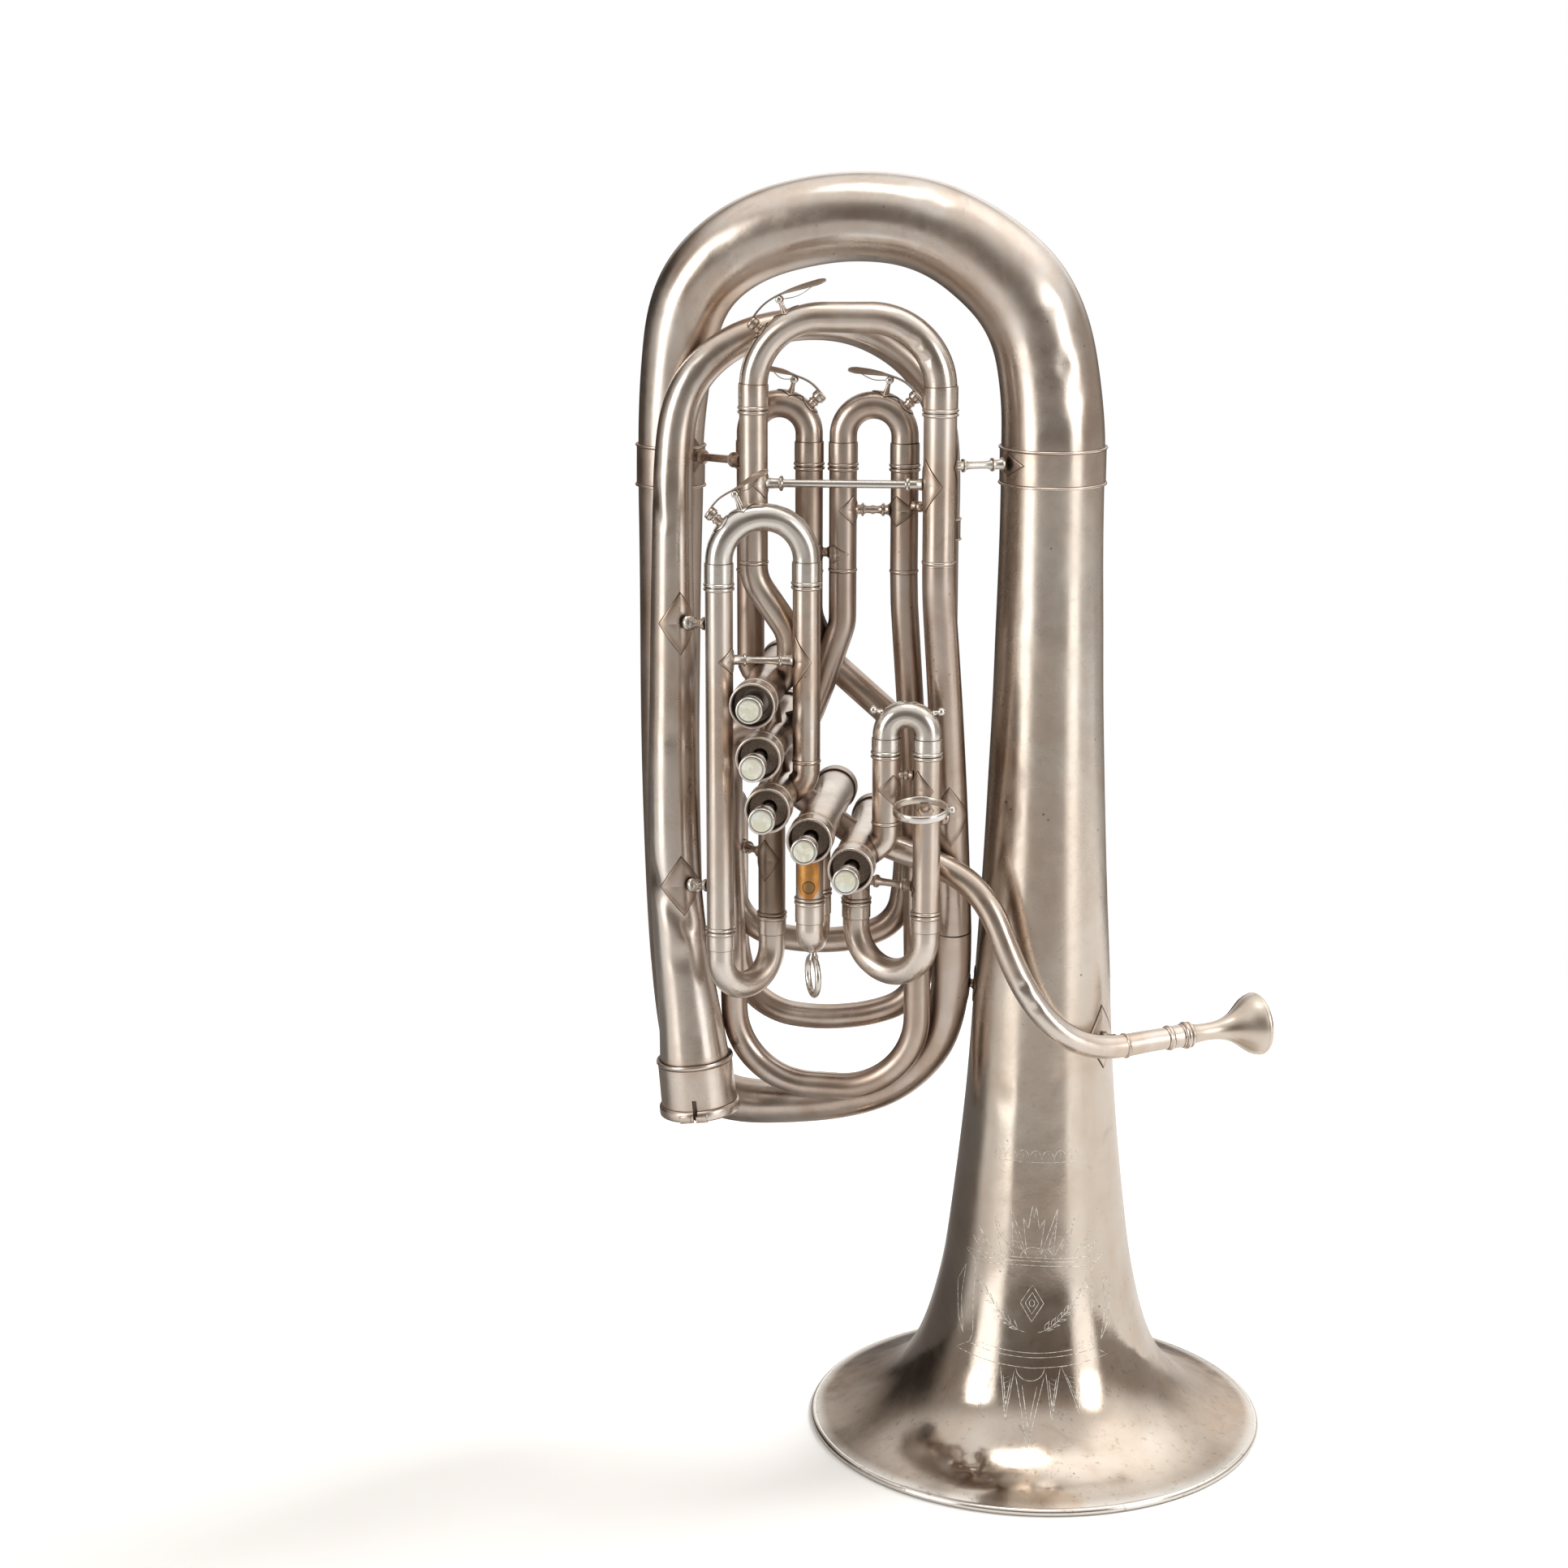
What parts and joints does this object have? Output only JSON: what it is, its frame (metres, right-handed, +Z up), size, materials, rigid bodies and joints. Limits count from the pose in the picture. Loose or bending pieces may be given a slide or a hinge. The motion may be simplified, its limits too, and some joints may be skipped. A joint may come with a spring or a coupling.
{
  "type": "double-bell euphonium",
  "caption": "Upright front-action brass instrument with piston valves, pull slides, water keys and a large bell it stands on; the socket of its second bell is open.",
  "frame": {"origin": "centre of the big bell rim, on the plane the rim stands on", "axes": "+Z up along the big bell, +X to the mouthpiece side, -Y to the finger buttons; the pistons travel along +Y"},
  "size_m": [0.3868, 0.2779, 0.7611],
  "materials": {
    "silver_plate": "satin silver plate with warm tarnish",
    "polished_silver": "satin silver plate, brighter at the flare",
    "nickel": "plated, polished",
    "bare_brass": "worn bare brass",
    "pearl": "mother-of-pearl",
    "cork": "cork",
    "spring_steel": "plain"
  },
  "bodies": {
    "frame": {"bell": "polished_silver", "big_branch": "silver_plate", "bottom_bow": "silver_plate", "bow_ferrules": "silver_plate", "braces": "silver_plate", "first_valve_tubes": "silver_plate", "fourth_slide_tubes": "silver_plate", "fourth_valve_loop": "silver_plate", "main_bow": "silver_plate", "main_slide_tubes": "silver_plate", "mouthpiece_receiver": "silver_plate", "mouthpipe": "silver_plate", "right_branch": "silver_plate", "second_valve_tubes": "bare_brass", "small_bell_branch": "silver_plate", "small_bell_lower_loop": "silver_plate", "small_bell_slide_tubes": "silver_plate", "small_bell_socket": "silver_plate", "spring_1": "spring_steel", "spring_2": "spring_steel", "spring_3": "spring_steel", "spring_4": "spring_steel", "spring_5": "spring_steel", "third_valve_tubes": "silver_plate", "thumb_ring": "silver_plate", "valve_bottom_caps": "silver_plate", "valve_casing_1": "silver_plate", "valve_casing_2": "silver_plate", "valve_casing_3": "silver_plate", "valve_casing_4": "silver_plate", "valve_casing_5": "silver_plate", "valve_knuckles": "silver_plate", "valve_top_caps": "silver_plate"},
    "piston_1_assembly": {"piston_1": "nickel", "pearl_1": "pearl"},
    "piston_2_assembly": {"piston_2": "nickel", "pearl_2": "pearl"},
    "piston_3_assembly": {"piston_3": "nickel", "pearl_3": "pearl"},
    "piston_4_assembly": {"piston_4": "nickel", "pearl_4": "pearl"},
    "piston_5_assembly": {"piston_5": "nickel", "pearl_5": "pearl"},
    "main_slide_body": {"main_slide": "silver_plate"},
    "small_bell_slide_body": {"small_bell_slide": "silver_plate"},
    "fourth_slide_body": {"fourth_slide": "silver_plate"},
    "third_upper_slide_body": {"third_upper_slide": "silver_plate"},
    "third_lower_slide_body": {"third_lower_slide": "silver_plate"},
    "first_upper_slide_body": {"first_upper_slide": "silver_plate"},
    "first_lower_slide_body": {"first_lower_slide": "silver_plate"},
    "second_slide_body": {"second_slide": "silver_plate"},
    "main_water_key_lever": {"main_water_key": "silver_plate", "main_key_cork": "cork"},
    "small_bell_water_key_lever": {"small_bell_water_key": "silver_plate", "small_bell_key_cork": "cork"},
    "fourth_water_key_lever": {"fourth_water_key": "silver_plate", "fourth_key_cork": "cork"},
    "third_water_key_lever": {"third_water_key": "silver_plate", "third_key_cork": "cork"},
    "mouthpiece_body": {"mouthpiece": "silver_plate"}
  },
  "joints": [
    {"name": "piston_1_press", "type": "slide", "parent": "frame", "child": "piston_1_assembly", "axis": [0, 1, 0], "range_m": [0, 0.016], "stiffness_N_per_m": 150, "springref_m": -0.015, "deforming": ["spring_1"]},
    {"name": "piston_2_press", "type": "slide", "parent": "frame", "child": "piston_2_assembly", "axis": [0, 1, 0], "range_m": [0, 0.016], "stiffness_N_per_m": 150, "springref_m": -0.015, "deforming": ["spring_2"]},
    {"name": "piston_3_press", "type": "slide", "parent": "frame", "child": "piston_3_assembly", "axis": [0, 1, 0], "range_m": [0, 0.016], "stiffness_N_per_m": 150, "springref_m": -0.015, "deforming": ["spring_3"]},
    {"name": "piston_4_press", "type": "slide", "parent": "frame", "child": "piston_4_assembly", "axis": [0, 1, 0], "range_m": [0, 0.016], "stiffness_N_per_m": 150, "springref_m": -0.015, "deforming": ["spring_4"]},
    {"name": "piston_5_press", "type": "slide", "parent": "frame", "child": "piston_5_assembly", "axis": [0, 1, 0], "range_m": [0, 0.016], "stiffness_N_per_m": 150, "springref_m": -0.015, "deforming": ["spring_5"]},
    {"name": "main_slide_pull", "type": "slide", "parent": "frame", "child": "main_slide_body", "axis": [0, 0, 1], "range_m": [0, 0.045]},
    {"name": "small_bell_slide_pull", "type": "slide", "parent": "frame", "child": "small_bell_slide_body", "axis": [0, 0, 1], "range_m": [0, 0.025]},
    {"name": "fourth_slide_pull", "type": "slide", "parent": "frame", "child": "fourth_slide_body", "axis": [0, 0, 1], "range_m": [0, 0.025]},
    {"name": "third_upper_slide_pull", "type": "slide", "parent": "frame", "child": "third_upper_slide_body", "axis": [0, 0, 1], "range_m": [0, 0.04]},
    {"name": "third_lower_slide_pull", "type": "slide", "parent": "frame", "child": "third_lower_slide_body", "axis": [0, 0, -1], "range_m": [0, 0.038]},
    {"name": "first_upper_slide_pull", "type": "slide", "parent": "frame", "child": "first_upper_slide_body", "axis": [0, 0, 1], "range_m": [0, 0.024]},
    {"name": "first_lower_slide_pull", "type": "slide", "parent": "frame", "child": "first_lower_slide_body", "axis": [0, 0, -1], "range_m": [0, 0.014]},
    {"name": "second_slide_pull", "type": "slide", "parent": "frame", "child": "second_slide_body", "axis": [0, 0, -1], "range_m": [0, 0.018]},
    {"name": "main_water_key_turn", "type": "hinge", "parent": "main_slide_body", "child": "main_water_key_lever", "pos_m": [-0.1546, -0.038, 0.6916], "axis": [0, 1, 0], "range_deg": [0, 12], "stiffness_Nm_per_rad": 0.08, "springref_deg": -28.65},
    {"name": "small_bell_water_key_turn", "type": "hinge", "parent": "small_bell_slide_body", "child": "small_bell_water_key_lever", "pos_m": [-0.1484, -0.02, 0.6446], "axis": [0, -1, 0], "range_deg": [0, 12], "stiffness_Nm_per_rad": 0.08, "springref_deg": -28.65},
    {"name": "fourth_water_key_turn", "type": "hinge", "parent": "fourth_slide_body", "child": "fourth_water_key_lever", "pos_m": [-0.0932, -0.02, 0.645], "axis": [0, -1, 0], "range_deg": [0, 12], "stiffness_Nm_per_rad": 0.08, "springref_deg": -28.65},
    {"name": "third_water_key_turn", "type": "hinge", "parent": "third_upper_slide_body", "child": "third_water_key_lever", "pos_m": [-0.1772, -0.0586, 0.5834], "axis": [0, 1, 0], "range_deg": [0, 12], "stiffness_Nm_per_rad": 0.08, "springref_deg": -28.65},
    {"name": "mouthpiece_pull", "type": "slide", "parent": "frame", "child": "mouthpiece_body", "axis": [0.8675, 0.4967, 0.0265], "range_m": [0, 0.022]}
  ]
}
